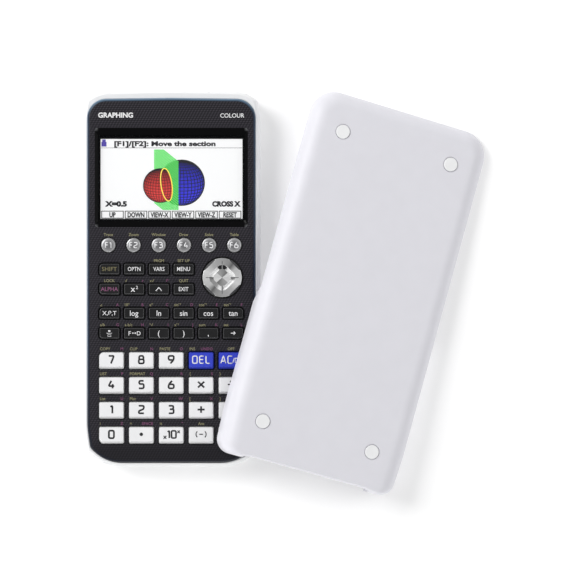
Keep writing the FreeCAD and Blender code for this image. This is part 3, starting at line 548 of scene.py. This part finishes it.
# Stroke letters in a box one unit high, each as (width, paths). A path is (points, closed).
GLYPHS = {
    "0": (0.62, [([(0.0, 0.0), (0.62, 0.0), (0.62, 1.0), (0.0, 1.0)], True)]),
    "1": (0.24, [([(0.0, 0.86), (0.24, 1.0), (0.24, 0.0)], False)]),
    "2": (0.62, [([(0.0, 1.0), (0.62, 1.0), (0.62, 0.58), (0.0, 0.30), (0.0, 0.0), (0.62, 0.0)], False)]),
    "3": (0.60, [([(0.0, 1.0), (0.56, 1.0), (0.56, 0.54), (0.14, 0.54)], False),
                 ([(0.3, 0.54), (0.60, 0.54), (0.60, 0.0), (0.0, 0.0)], False)]),
    "4": (0.70, [([(0.34, 1.0), (0.0, 0.30), (0.70, 0.30)], False), ([(0.50, 0.56), (0.50, 0.0)], False)]),
    "5": (0.60, [([(0.58, 1.0), (0.04, 1.0), (0.04, 0.58), (0.60, 0.58), (0.60, 0.0), (0.0, 0.0)], False)]),
    "6": (0.64, [([(0.42, 1.0), (0.10, 0.62), (0.0, 0.38), (0.0, 0.0), (0.64, 0.0), (0.64, 0.54),
                   (0.16, 0.54)], False)]),
    "7": (0.64, [([(0.0, 1.0), (0.64, 1.0), (0.26, 0.0)], False)]),
    "8": (0.62, [([(0.0, 0.0), (0.62, 0.0), (0.62, 0.54), (0.0, 0.54)], True),
                 ([(0.05, 0.54), (0.05, 1.0), (0.57, 1.0), (0.57, 0.54)], False)]),
    "9": (0.64, [([(0.22, 0.0), (0.54, 0.38), (0.64, 0.62), (0.64, 1.0), (0.0, 1.0), (0.0, 0.46),
                   (0.48, 0.46)], False)]),
    "A": (0.72, [([(0.0, 0.0), (0.36, 1.0), (0.72, 0.0)], False), ([(0.12, 0.30), (0.60, 0.30)], False)]),
    "C": (0.62, [([(0.62, 1.0), (0.0, 1.0), (0.0, 0.0), (0.62, 0.0)], False)]),
    "D": (0.64, [([(0.0, 0.0), (0.64, 0.0), (0.64, 1.0), (0.0, 1.0)], True)]),
    "E": (0.56, [([(0.56, 1.0), (0.0, 1.0), (0.0, 0.0), (0.56, 0.0)], False),
                 ([(0.0, 0.52), (0.5, 0.52)], False)]),
    "F": (0.52, [([(0.52, 1.0), (0.0, 1.0), (0.0, 0.0)], False), ([(0.0, 0.52), (0.46, 0.52)], False)]),
    "L": (0.50, [([(0.0, 1.0), (0.0, 0.0), (0.50, 0.0)], False)]),
    "N": (0.62, [([(0.0, 0.0), (0.0, 1.0), (0.62, 0.0), (0.62, 1.0)], False)]),
    "O": (0.62, [([(0.0, 0.0), (0.62, 0.0), (0.62, 1.0), (0.0, 1.0)], True)]),
    "X": (0.62, [([(0.0, 0.0), (0.62, 1.0)], False), ([(0.0, 1.0), (0.62, 0.0)], False)]),
    "+": (0.90, [([(0.0, 0.5), (0.90, 0.5)], False), ([(0.45, 0.05), (0.45, 0.95)], False)]),
    "-": (0.60, [([(0.0, 0.5), (0.60, 0.5)], False)]),
    "*": (0.80, [([(0.0, 0.1), (0.80, 0.9)], False), ([(0.0, 0.9), (0.80, 0.1)], False)]),
    "(": (0.20, [([(0.20, 1.05), (0.0, 0.72), (0.0, 0.28), (0.20, -0.05)], False)]),
    ")": (0.20, [([(0.0, 1.05), (0.20, 0.72), (0.20, 0.28), (0.0, -0.05)], False)]),
    "/": (0.36, [([(0.0, -0.05), (0.36, 1.05)], False)]),
    ">": (0.90, [([(0.0, 0.5), (0.84, 0.5)], False), ([(0.56, 0.78), (0.86, 0.5), (0.56, 0.22)], False)]),
    "^": (0.90, [([(0.0, 0.22), (0.45, 0.72), (0.90, 0.22)], False)]),
    "x": (0.60, [([(0.0, 0.0), (0.60, 0.66)], False), ([(0.0, 0.66), (0.60, 0.0)], False)]),
}
SHARP = "+-*/A^>XNx"  # letters whose corners are hardly rounded


def drawn(text, x, y, height, gap=0.24, shape=1.0):
    """Paths of a word in stroke letters, centred on (x, y). shape widens or narrows the letters."""
    letters = [GLYPHS[letter] for letter in text]
    total = sum(w for w, _ in letters) * shape + gap * (len(letters) - 1)
    cursor = -total / 2
    paths = []
    for letter, (letter_width, letter_paths) in zip(text, letters):
        for points, closed in letter_paths:
            placed = [(x + (cursor + px * shape) * height, y + (py - 0.5) * height) for px, py in points]
            bend = 0.02 if letter in SHARP else 0.2
            paths.append((rounded(placed, bend * height, closed), closed))
        cursor += letter_width * shape + gap
    return paths


def disc_paths(x, y, radius):
    """A ring at half the radius, which a stroke as wide as the radius or wider turns into a disc."""
    ring = [(x + radius * 0.5 * math.cos(a), y + radius * 0.5 * math.sin(a))
            for a in [k * math.tau / 16 for k in range(16)]]
    return [(ring, True)]


def joined(parts, surface):
    """One mesh in metres from (mesh, dx, dy) parts in millimetres, laid on surface(x, y)."""
    bm = bmesh.new()
    for mesh, dx, dy in parts:
        start = len(bm.verts)
        bm.from_mesh(mesh)
        bm.verts.ensure_lookup_table()
        for vertex in bm.verts[start:]:
            x, y = vertex.co.x + dx, vertex.co.y + dy
            vertex.co = Vector((x, y, vertex.co.z + surface(x, y))) * MM
        bpy.data.meshes.remove(mesh)
    bmesh.ops.remove_doubles(bm, verts=bm.verts, dist=1e-7)
    made = bpy.data.meshes.new("legend")
    bm.to_mesh(made)
    bm.free()
    return made


def word_parts(items, height, weight, width=None, stretch=1.0):
    """Words (text, x, y, align) as parts for joined(). align is -1 left, 0 centre, 1 right.

    The letters are stretched sideways by stretch, or so that each word comes out width wide.
    """
    parts = []
    for text, x, y, align in items:
        mesh = lettering(text, height, weight)
        xs = [v.co.x for v in mesh.vertices]
        factor = width / (max(xs) - min(xs)) if width else stretch
        for vertex in mesh.vertices:
            vertex.co.x *= factor
        xs = [v.co.x for v in mesh.vertices]
        shift = {-1: -min(xs), 0: -(min(xs) + max(xs)) / 2, 1: -max(xs)}[align]
        parts.append((mesh, x + shift, y - height / 2))
    return parts


# ---- Legends on the keys --------------------------------------------------------------------------

WHITE_INK = moulded("white_ink", (0.84, 0.84, 0.85), 0.5, 0.01)
BLACK_INK = moulded("black_ink", (0.010, 0.010, 0.013), 0.45, 0.02)
YELLOW_INK = moulded("yellow_ink", (0.19, 0.17, 0.085), 0.5, 0.02)
PINK_INK = moulded("pink_ink", (0.25, 0.085, 0.18), 0.5, 0.02)
FACE_YELLOW = moulded("face_yellow", (0.29, 0.27, 0.15), 0.5, 0.02)
FACE_PINK = moulded("face_pink", (0.21, 0.065, 0.155), 0.5, 0.02)
LIFT = 0.02  # of a legend over the plastic


def middle(node_name):
    """The middle of a node in x and y, and its top."""
    lo, hi = span(node_name)
    return (lo[0] + hi[0]) / 2, (lo[1] + hi[1]) / 2, hi[2]


DISH_RADIUS = 60.0
DISH_DEPTH = 0.14
DOME_RADIUS = 16.0


def dished(centre_x, top):
    """The hollow top of a flat key."""
    return lambda x, y: top - DISH_DEPTH + (x - centre_x) ** 2 / (2 * DISH_RADIUS) + LIFT


def domed(centre_x, centre_y, top):
    """The domed top of a function key."""
    return lambda x, y: top - ((x - centre_x) ** 2 + (y - centre_y) ** 2) / (2 * DOME_RADIUS) + LIFT


def key_legend(name, parts, ink=WHITE_INK):
    """Add the legend of a flat key, from parts as for joined()."""
    x, _, top = middle("key_" + name)
    add_piece("legend_" + name, joined(parts, dished(x, top)), ink, "key_" + name)


NUMBER_LEGENDS = {str(digit): str(digit) for digit in range(10)}
NUMBER_LEGENDS |= {"plus": "+", "minus": "-", "multiply": "*"}
for name, text in NUMBER_LEGENDS.items():
    x, y, _ = middle("key_" + name)
    size = 3.75 if text.isdigit() else 3.6
    key_legend(name, [(strokes(drawn(text, x, y + 0.45, size, shape=1.08), 0.90), 0, 0)], BLACK_INK)

x, y, _ = middle("key_divide")
paths = drawn("-", x, y + 0.5, 5.4) + disc_paths(x, y + 1.9, 0.5) + disc_paths(x, y - 0.9, 0.5)
key_legend("divide", [(strokes(paths, 0.66), 0, 0)], BLACK_INK)
x, y, _ = middle("key_point")
key_legend("point", [(strokes(disc_paths(x, y + 0.5, 0.8), 0.95), 0, 0)], BLACK_INK)
x, y, _ = middle("key_exponent")
mesh = strokes(drawn("10", x + 0.3, y + 0.45, 3.6, 0.30), 0.84)
small = strokes(drawn("x", x - 3.1, y - 0.6, 2.3) + drawn("x", x + 3.7, y + 2.1, 1.9), 0.52)
key_legend("exponent", [(mesh, 0, 0), (small, 0, 0)], BLACK_INK)
x, y, _ = middle("key_negative")
key_legend("negative", [(strokes(drawn("(-)", x, y + 0.5, 2.7, 0.36, 1.15), 0.52), 0, 0)], BLACK_INK)
x, y, _ = middle("key_execute")
key_legend("execute", [(strokes(drawn("EXE", x, y + 0.5, 3.1), 0.66), 0, 0)], BLACK_INK)
x, y, _ = middle("key_delete")
key_legend("delete", [(strokes(drawn("DEL", x, y + 0.45, 3.6, 0.34, 0.98), 0.56), 0, 0)])
x, y, _ = middle("key_clear")
mesh = strokes(drawn("AC", x - 2.2, y + 0.45, 3.6, 0.28, 0.98), 0.56)
small = strokes(drawn("/ON", x + 3.0, y + 0.1, 2.1, 0.2), 0.38)
key_legend("clear", [(mesh, 0, 0), (small, 0, 0)])

for i in range(1, 7):
    body = f"key_f{i}"
    x, y, top = middle(body)
    mesh = strokes(drawn(f"F{i}", x, y, 2.6, 0.30), 0.54)
    add_piece(f"legend_f{i}", joined([(mesh, 0, 0)], domed(x, y, top)), WHITE_INK, body)

WORD_STRETCH = {"shift": 1.05, "alpha": 0.96, "variable": 1.02}
DARK_LEGENDS = {"shift": "SHIFT", "option": "OPTN", "vars": "VARS", "menu": "MENU", "alpha": "ALPHA",
                "exit": "EXIT", "log": "log", "ln": "ln", "sin": "sin", "cos": "cos", "tan": "tan",
                "variable": "X,θ,T", "open_bracket": "(", "close_bracket": ")", "comma": ","}
for name, text in DARK_LEGENDS.items():
    x, y, _ = middle("key_" + name)
    size, stretch = (2.1, 0.84) if text.isupper() or name == "variable" else (2.8, 0.95)
    ink = {"shift": YELLOW_INK, "alpha": PINK_INK}.get(name, WHITE_INK)
    parts = word_parts([(text, x, y + 0.15, 0)], size, 0.006, stretch=WORD_STRETCH.get(name, stretch))
    key_legend(name, parts, ink)

x, y, _ = middle("key_square")
parts = word_parts([("x", x - 0.6, y + 0.3, 0)], 3.1, 0.004)
parts += word_parts([("2", x + 1.4, y + 0.9, 0)], 1.6, 0.004)
key_legend("square", parts)
for name, glyph, size in (("power", "^", 3.4), ("store", ">", 2.6)):
    x, y, _ = middle("key_" + name)
    key_legend(name, [(strokes(drawn(glyph, x, y + 0.1, size), 0.42), 0, 0)])
x, y, _ = middle("key_fraction")
boxes = [([(x - 0.75, y - 1.55), (x + 0.75, y - 1.55), (x + 0.75, y - 0.65), (x - 0.75, y - 0.65)], True),
         ([(x - 1.35, y + 0.05), (x + 1.35, y + 0.05)], False)]
numerator = [([(x - 0.55, y + 1.15), (x + 0.55, y + 1.15)], False)]
key_legend("fraction", [(strokes(boxes, 0.24), 0, 0), (strokes(numerator, 0.85), 0, 0)])
x, y, _ = middle("key_convert")
arrow = [([(x - 0.9, y + 0.1), (x + 0.9, y + 0.1)], False),
         ([(x - 0.5, y + 0.5), (x - 0.95, y + 0.1), (x - 0.5, y - 0.3)], False),
         ([(x + 0.5, y + 0.5), (x + 0.95, y + 0.1), (x + 0.5, y - 0.3)], False)]
parts = word_parts([("F", x - 2.2, y + 0.1, 0), ("D", x + 2.3, y + 0.1, 0)], 2.1, 0.006)
parts.append((strokes(arrow, 0.26), 0, 0))
key_legend("convert", parts)

# ---- Legends on the face --------------------------------------------------------------------------

FACE_Z = span("front_case")[1][2]


def on_face(x, y):
    return FACE_Z + 0.005


YELLOW_WORDS = {"vars": "PRGM", "menu": "SET UP", "alpha": "LOCK", "exit": "QUIT"}
LEFT_WORDS = {"square": "√", "power": "x√", "variable": "∠", "log": "10ˣ", "ln": "eˣ",
              "sin": "sinˉ¹", "cos": "cosˉ¹", "tan": "tanˉ¹", "fraction": "a/b",
              "convert": "a b/c", "open_bracket": "³√", "close_bracket": "xˉ¹", "comma": "sum",
              "store": "set", "7": "COPY", "8": "CLIP", "9": "PASTE", "delete": "INS", "4": "LIST",
              "5": "FORMAT", "multiply": "{", "divide": "}", "1": "List", "2": "Mat", "plus": "[",
              "minus": "]", "0": "i", "point": "=", "exponent": "π"}
CENTRE_WORDS = {"clear": "OFF", "negative": "Ans", "f1": "Trace", "f2": "Zoom", "f3": "Window", "f4": "Draw",
                "f5": "Solve", "f6": "Table"}
RIGHT_WORDS = {"square": "r", "power": "θ", "variable": "A", "log": "B", "ln": "C", "sin": "D", "cos": "E",
               "tan": "F", "fraction": "G", "convert": "H", "open_bracket": "I", "close_bracket": "J",
               "comma": "K", "store": "L", "7": "M", "8": "N", "9": "O", "delete": "UNDO", "4": "P", "5": "Q",
               "6": "R", "multiply": "S", "divide": "T", "1": "U", "2": "V", "3": "W", "plus": "X",
               "minus": "Y", "0": "Z", "point": "SPACE", "exponent": "\""}


NUMBER_BLOCK = ("delete", "clear", "multiply", "divide", "plus", "minus", "point", "exponent", "negative")
INSET = 0.9


def above(name, where):
    """A legend's place over its key: where is -1 at the left end, 0 in the middle, 1 at the right end."""
    lo, hi = span("key_" + name)
    rise = 1.75 if name[0].isdigit() or name in NUMBER_BLOCK else 1.55
    if name[0] == "f" and name[1:].isdigit():
        rise = 1.9
    x = {-1: lo[0] + INSET, 0: (lo[0] + hi[0]) / 2, 1: hi[0] - INSET}[where]
    return x, hi[1] + rise - 0.5


yellow = [(w, *above(n, 0), 0) for n, w in (YELLOW_WORDS | CENTRE_WORDS).items()]
yellow += [(w, *above(n, -1), -1) for n, w in LEFT_WORDS.items()]
pink = [(w, *above(n, 1), 1) for n, w in RIGHT_WORDS.items()]
for name, words, ink in (("face_words_yellow", yellow, FACE_YELLOW), ("face_words_pink", pink, FACE_PINK)):
    add_piece(name, joined(word_parts(words, 1.45, 0.010), on_face), ink, "calculator")
heading = word_parts([("GRAPHING", -36.5, 81.6, -1)], 2.5, 0.035, 17.4)
heading += word_parts([("COLOUR", 36.4, 81.4, 1)], 2.2, 0.008, 12.0)
add_piece("face_heading", joined(heading, on_face), WHITE_INK, "calculator")

# ---- Screen picture -------------------------------------------------------------------------------

LCD_Z = span("lcd_module")[1][2]


def lit(name, colour, glow):
    """A paint that shines, as the backlit display does."""
    paint = moulded(name, colour, 0.5, 0.0, bump=0.0)
    paint.set("Emission Color", (*colour, 1.0))
    paint.set("Emission Strength", glow)
    return paint


SCREEN_WHITE = lit("screen_white", (0.93, 0.935, 0.94), 0.28)
SCREEN_BLACK = lit("screen_black", (0.01, 0.01, 0.015), 0.0)
SCREEN_GREY = lit("screen_grey", (0.045, 0.045, 0.05), 0.1)
SCREEN_GREEN = lit("screen_green", (0.10, 0.70, 0.12), 0.3)
SCREEN_YELLOW = lit("screen_yellow", (0.95, 0.72, 0.10), 0.5)
SCREEN_VIOLET = lit("screen_violet", (0.08, 0.06, 0.36), 0.3)


def layer(z):
    """A flat surface z over the display."""
    return lambda x, y: LCD_Z + z


def on_screen(name, mesh, paint):
    add_piece(name, mesh, paint, "calculator")


def flat_mesh(polygons, z0, thickness=0.02):
    """Thin closed plates in metres from outlines in millimetres."""
    bm = bmesh.new()
    for outline in polygons:
        low = [bm.verts.new(Vector((x, y, z0)) * MM) for x, y in outline]
        high = [bm.verts.new(Vector((x, y, z0 + thickness)) * MM) for x, y in outline]
        bm.faces.new(list(reversed(low)))
        bm.faces.new(high)
        count = len(outline)
        for i in range(count):
            j = (i + 1) % count
            bm.faces.new((low[i], low[j], high[j], high[i]))
    bmesh.ops.recalc_face_normals(bm, faces=bm.faces)
    mesh = bpy.data.meshes.new("plates")
    bm.to_mesh(mesh)
    bm.free()
    return mesh


CIRCLE_SIDES = 64


def circle(x, y, rx, ry=None, turn=0.0, count=CIRCLE_SIDES):
    """A circle, or an ellipse turned by turn."""
    ry = rx if ry is None else ry
    c, s = math.cos(turn), math.sin(turn)
    ring = [(rx * math.cos(a), ry * math.sin(a)) for a in [k * math.tau / count for k in range(count)]]
    return [(x + px * c - py * s, y + px * s + py * c) for px, py in ring]


def box_outline(x0, y0, x1, y1):
    return [(x0, y0), (x1, y0), (x1, y1), (x0, y1)]


SCREEN = (-35.45, 29.9, 35.45, 69.75)
screen_base = flat_mesh([box_outline(*SCREEN)], LCD_Z + 0.01)
on_screen("screen_sheet", screen_base, SCREEN_WHITE)


PLANE_RIGHT = 3.5


def globe_paint(name, centre, radius, dark, light, behind_plane=False):
    """A shaded ball drawn flat: darker at its upper edge, lighter towards its lower middle.

    behind_plane darkens what the section plane covers.
    """
    paint = lit(name, light, 0.2)
    x, y, _ = paint.axes()
    dx = paint.math("DIVIDE", paint.math("SUBTRACT", x, centre[0]), radius)
    dy = paint.math("DIVIDE", paint.math("SUBTRACT", y, centre[1]), radius)
    shade = paint.math("ADD", paint.math("MULTIPLY", dy, -0.42), 0.55)
    edge = paint.math("ADD", paint.both(dx, dx), paint.both(dy, dy))
    shade = paint.math("SUBTRACT", shade, paint.math("MULTIPLY", edge, 0.12))
    colour = paint.ramp(shade, [(0.0, dark), (1.0, light)])
    if behind_plane:
        colour = paint.mix(paint.math("LESS_THAN", x, PLANE_RIGHT), colour, (0.004, 0.075, 0.055))
    paint.colour(colour)
    paint.link(colour, paint.shader.inputs["Emission Color"])
    return paint


def globe_lines(centre, radius, tilt, spin, meridians, parallels):
    """Front halves of a tilted ball's meridians and parallels, projected flat, as stroke paths."""
    ct, st = math.cos(tilt), math.sin(tilt)

    def seen(lon, lat):
        px = math.cos(lat) * math.sin(lon)
        py = math.sin(lat)
        pz = math.cos(lat) * math.cos(lon)
        return px, py * ct - pz * st, py * st + pz * ct

    paths = []

    def walk(points):
        run = []
        for px, py, pz in points:
            if pz > 0.02:
                run.append((centre[0] + px * radius, centre[1] + py * radius))
            elif len(run) > 1:
                paths.append((run, False))
                run = []
            else:
                run = []
        if len(run) > 1:
            paths.append((run, False))

    for k in range(meridians):
        lon = spin + k * math.tau / meridians
        walk([seen(lon, math.radians(a)) for a in range(-90, 91, 6)])
    for k in range(1, parallels):
        lat = -math.pi / 2 + k * math.pi / parallels
        walk([seen(math.radians(a), lat) for a in range(0, 361, 6)])
    paths.append((circle(centre[0], centre[1], radius), True))
    return paths


BLUE_AT, BLUE_R = (5.1, 47.9), 11.4
RED_AT, RED_R = (-5.6, 46.5), 8.5
GLOBE_TILT, GLOBE_SPIN = 0.22, 0.1
SECTION_AT, SECTION_R, SECTION_TURN = (-2.5, 46.9), (2.75, 8.2), math.radians(8)
PLANE = [(-8.7, 37.8), (-4.3, 34.3), (PLANE_RIGHT, 34.3), (PLANE_RIGHT, 58.5), (-4.0, 64.5), (-8.7, 64.5)]
blue_paint = globe_paint("globe_blue", BLUE_AT, BLUE_R, (0.006, 0.006, 0.18), (0.05, 0.05, 0.92), True)
red_paint = globe_paint("globe_red", RED_AT, RED_R, (0.20, 0.006, 0.006), (0.95, 0.07, 0.06))
on_screen("screen_globe_blue", flat_mesh([circle(*BLUE_AT, BLUE_R)], LCD_Z + 0.04), blue_paint)
blue_lines = strokes(globe_lines(BLUE_AT, BLUE_R, GLOBE_TILT, GLOBE_SPIN, 36, 20), 0.34, 0.10)
on_screen("screen_globe_blue_lines", joined([(blue_lines, 0, 0)], layer(0.07)), SCREEN_BLACK)


def within_plane(x, y):
    """Whether a point lies inside the section plane's outline."""
    lower = 37.8 - (x + 8.7) * 0.795 if x < -4.3 else 34.3
    upper = 64.5 if x < -4.0 else 64.5 - (x + 4.0) * 0.8
    return -8.7 <= x <= PLANE_RIGHT and lower < y < upper


def beyond_section(x, y):
    """Whether a point of the red ball's picture lies past the section, on its hidden side."""
    dx, dy = x - SECTION_AT[0], y - SECTION_AT[1]
    c, s = math.cos(SECTION_TURN), math.sin(SECTION_TURN)
    u, v = (dx * c + dy * s) / SECTION_R[0], (dy * c - dx * s) / SECTION_R[1]
    return u > 0 and u * u + v * v > 1


def clipped(paths, hidden):
    """The visible runs of stroke paths."""
    runs = []
    for points, closed in paths:
        run = []
        for point in points + points[:1] if closed else points:
            if hidden(*point):
                runs.append((run, False))
                run = []
            else:
                run.append(point)
        runs.append((run, False))
    return [(run, closed) for run, closed in runs if len(run) > 1]


green_glass = lit("screen_green_glass", (0.16, 0.82, 0.18), 0.2)
green_glass.set("Alpha", 0.40)
on_screen("screen_plane", flat_mesh([PLANE], LCD_Z + 0.10), green_glass)
hatch = [([(-8.7 + k * 0.1, start - k * 0.1 * 0.8) for k in range(123)], False)
         for start in [34.3 + step * 1.25 for step in range(34)]]
hatch = clipped(hatch, lambda x, y: not within_plane(x, y))
on_screen("screen_plane_hatch", joined([(strokes(hatch, 0.36, 0.10), 0, 0)], layer(0.13)), SCREEN_GREEN)

section = circle(*SECTION_AT, *SECTION_R, SECTION_TURN)
red_outline = [point for point in circle(*RED_AT, RED_R, count=128) if not beyond_section(*point)]
turn_over = max(range(len(red_outline)), key=lambda k: math.dist(red_outline[k], red_outline[k - 1]))
red_outline = red_outline[turn_over:] + red_outline[:turn_over]
right_side = [section[k % CIRCLE_SIDES] for k in range(-15, 16)]
on_screen("screen_globe_red", flat_mesh([red_outline + right_side], LCD_Z + 0.15), red_paint)
red_lines = clipped(globe_lines(RED_AT, RED_R, GLOBE_TILT, GLOBE_SPIN, 34, 18), beyond_section)
red_lines = strokes(red_lines, 0.24, 0.10)
on_screen("screen_globe_red_lines", joined([(red_lines, 0, 0)], layer(0.18)), SCREEN_BLACK)
section_line = strokes([(section, True)], 0.5, 0.1)
on_screen("screen_section", joined([(section_line, 0, 0)], layer(0.22)), SCREEN_YELLOW)

title = word_parts([("[F1]/[F2]: Move the section", -28.6, 67.5, -1)], 2.4, 0.040, 50.6)
title += word_parts([("X=0.5", -33.3, 37.4, -1)], 2.5, 0.06, 11.0)
title += word_parts([("CROSS X", 34.5, 37.4, 1)], 2.5, 0.06, 14.2)
on_screen("screen_words", joined(title, layer(0.10)), SCREEN_BLACK)
rule = flat_mesh([box_outline(-35.2, 65.2, 35.3, 65.4)], LCD_Z + 0.05)
on_screen("screen_rule", rule, SCREEN_GREY)
icon = flat_mesh([box_outline(-35.0, 66.0, -32.5, 68.3), box_outline(-34.6, 68.3, -32.9, 69.5)], LCD_Z + 0.05)
on_screen("screen_battery_icon", icon, SCREEN_VIOLET)

TAB_PITCH = 11.75
TAB_WIDTH = 11.2
TABS = ("UP", "DOWN", "VIEW-X", "VIEW-Y", "VIEW-Z", "RESET")
tab_frames = []
for i in range(6):
    x0 = -35.1 + i * TAB_PITCH
    x1 = x0 + TAB_WIDTH
    tab_frames += [box_outline(x0, 30.0, x1, 30.4), box_outline(x0, 33.5, x1, 33.9),
                   box_outline(x0, 30.4, x0 + 0.4, 33.5), box_outline(x1 - 0.4, 30.4, x1, 33.5)]
on_screen("screen_tabs", flat_mesh(tab_frames, LCD_Z + 0.05), SCREEN_GREY)
tab_words = [(w, -29.5 + i * TAB_PITCH, 31.95, 0) for i, w in enumerate(TABS)]
tab_words = word_parts(tab_words, 2.5, 0.035, stretch=0.74)
on_screen("screen_tab_words", joined(tab_words, layer(0.10)), SCREEN_BLACK)

# ---- Direction pad lines --------------------------------------------------------------------------

PAD_X, PAD_Y, PAD_TOP = middle("nav_disc")
LINE_INK = moulded("line_ink", (0.10, 0.10, 0.105), 0.5)


def spoke(near, far, half_width, turn):
    """A thin bar along one of the pad's four directions, counted in quarter turns from the right."""
    c, s = round(math.cos(turn * math.pi / 2)), round(math.sin(turn * math.pi / 2))
    corners = [(near, -half_width), (far, -half_width), (far, half_width), (near, half_width)]
    return [(PAD_X + u * c - v * s, PAD_Y + u * s + v * c) for u, v in corners]


add_piece("pad_lines", flat_mesh([spoke(6.4, 8.2, 0.17, turn) for turn in range(4)], PAD_TOP - 0.03, 0.04),
          LINE_INK, "pad_disc")
bars = [spoke(4.0, 6.5, 0.2, turn) for turn in (0, 2, 3)]
add_piece("pad_bars", flat_mesh(bars, PAD_TOP - 0.55, 0.53), LINE_INK, "pad_disc")
add_piece("pad_top_bar", flat_mesh([spoke(4.0, 6.5, 0.2, 1)], PAD_TOP - 0.55, 0.53), PAINTS["silver_pad"],
          "pad_disc")

insert = [(-2.35, 5.0), (-1.6, 5.95), (-0.2, 6.35), (-0.2, 3.95), (-1.25, 3.85)]
halves = [[(PAD_X + u, PAD_Y + v) for u, v in reversed(insert)], [(PAD_X - u, PAD_Y + v) for u, v in insert]]
insert_paint = moulded("insert_black", (0.006, 0.006, 0.007), 0.3)
add_piece("pad_insert", flat_mesh(halves, PAD_TOP - 0.32, 0.25), insert_paint, "pad_disc")

# ---- Stage, lights and camera ---------------------------------------------------------------------

floor_mesh = bpy.data.meshes.new("floor")
bm = bmesh.new()
bmesh.ops.create_circle(bm, cap_ends=True, segments=64, radius=4.0)
bm.to_mesh(floor_mesh)
bm.free()
floor = bpy.data.objects.new("floor", floor_mesh)
floor.location.z = -0.0003
bpy.context.scene.collection.objects.link(floor)
floor_paint = Paint("floor", (0.985, 0.985, 0.985), 0.9, Specular_IOR_Level=0.0)
floor_paint.roughness(floor_paint.range(floor_paint.noise(0.02), 0.3, 0.7, 0.85, 0.95))
floor.data.materials.append(floor_paint.material)
floor_paint.set("Emission Color", (1.0, 1.0, 1.0, 1.0))
floor_paint.set("Emission Strength", 0.2)


TARGET = Vector((0.057, 0.0, 0.01))


def area_light(name, place, size, power):
    """A square white light that faces the middle of the object."""
    data = bpy.data.lights.new(name, "AREA")
    data.energy = power
    data.size = size
    light = bpy.data.objects.new(name, data)
    light.location = place
    light.rotation_euler = (TARGET - Vector(place)).to_track_quat("-Z", "Y").to_euler()
    bpy.context.scene.collection.objects.link(light)


area_light("key_light", (-1.15, 0.75, 1.15), 1.1, 25.3)
area_light("right_light", (1.35, 0.25, 1.05), 1.0, 5.6)
area_light("front_light", (0.15, -1.45, 0.85), 1.1, 2.6)
area_light("low_front_light", (0.10, -1.55, 0.22), 0.6, 5.0)
area_light("low_left_light", (-1.3, -0.9, 0.30), 0.6, 4.0)
area_light("low_right_light", (1.25, -1.1, 0.50), 0.8, 1.4)
area_light("low_back_light", (1.05, 1.2, 0.50), 0.8, 2.2)

world = bpy.data.worlds.new("studio")
bpy.context.scene.world = world
world.use_nodes = True
world.node_tree.nodes["Background"].inputs["Color"].default_value = (1.0, 1.0, 1.0, 1.0)
world.node_tree.nodes["Background"].inputs["Strength"].default_value = 0.30
bpy.context.scene.view_settings.view_transform = "Standard"

CAMERA_HEIGHT = 1.4
VIEW_WIDTH = 0.2843
VIEW_WIDTH_Z = 0.017  # the height at which the view is that wide
SENSOR_WIDTH = 36.0
camera_data = bpy.data.cameras.new("camera")
camera_data.sensor_width = SENSOR_WIDTH
camera_data.lens = SENSOR_WIDTH * (CAMERA_HEIGHT - VIEW_WIDTH_Z) / VIEW_WIDTH
camera_data.clip_end = 20.0
camera = bpy.data.objects.new("camera", camera_data)
camera.location = (0.0567, -0.0032, CAMERA_HEIGHT)
bpy.context.scene.collection.objects.link(camera)
bpy.context.scene.camera = camera
